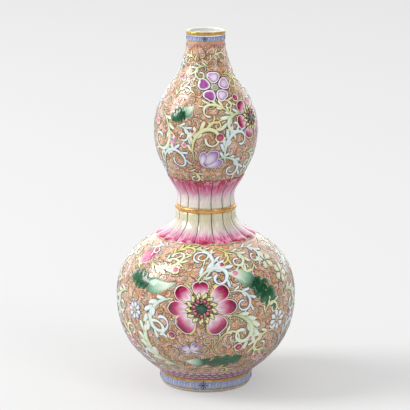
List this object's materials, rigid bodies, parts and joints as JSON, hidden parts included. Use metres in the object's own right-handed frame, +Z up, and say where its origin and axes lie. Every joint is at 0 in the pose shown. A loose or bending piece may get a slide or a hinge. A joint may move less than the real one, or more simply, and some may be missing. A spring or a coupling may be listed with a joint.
{
  "type": "double gourd vase",
  "caption": "Double gourd vase with a fluted petal waist, a gilt waist ring and lip, and famille rose flower and scroll enamels on a peach ground.",
  "frame": {"origin": "centre of the foot rim's underside, on the surface the vase stands on", "axes": "+Z up along the axis of the vase; the main lotus faces -Y"},
  "size_m": [0.1634, 0.1634, 0.3273],
  "materials": {
    "peach_enamel": "glazed porcelain, peach scroll ground with raised enamels",
    "petal_enamel": "glazed porcelain, pink to white petal enamel",
    "border_enamel": "glazed porcelain, pale blue fret border",
    "raised_enamel": "raised overglaze enamels of many colours",
    "white_glaze": "clear glaze over white porcelain",
    "gilding": "burnished gilding",
    "slip": "fired porcelain slip"
  },
  "bodies": {
    "root": {"foot_ring": "border_enamel", "lower_bowl": "peach_enamel", "lower_shoulder": "peach_enamel", "upper_bowl": "peach_enamel", "upper_shoulder": "peach_enamel", "neck": "peach_enamel", "lower_petal_collar": "petal_enamel", "upper_petal_collar": "petal_enamel", "waist_ring": "gilding", "mouth_lip": "gilding", "slip_foot": "slip", "slip_lower_belly": "slip", "slip_lower_collar": "slip", "slip_waist": "slip", "slip_upper_collar": "slip", "slip_upper_belly": "slip", "slip_neck": "slip", "slip_lip": "slip"}
  },
  "joints": []
}
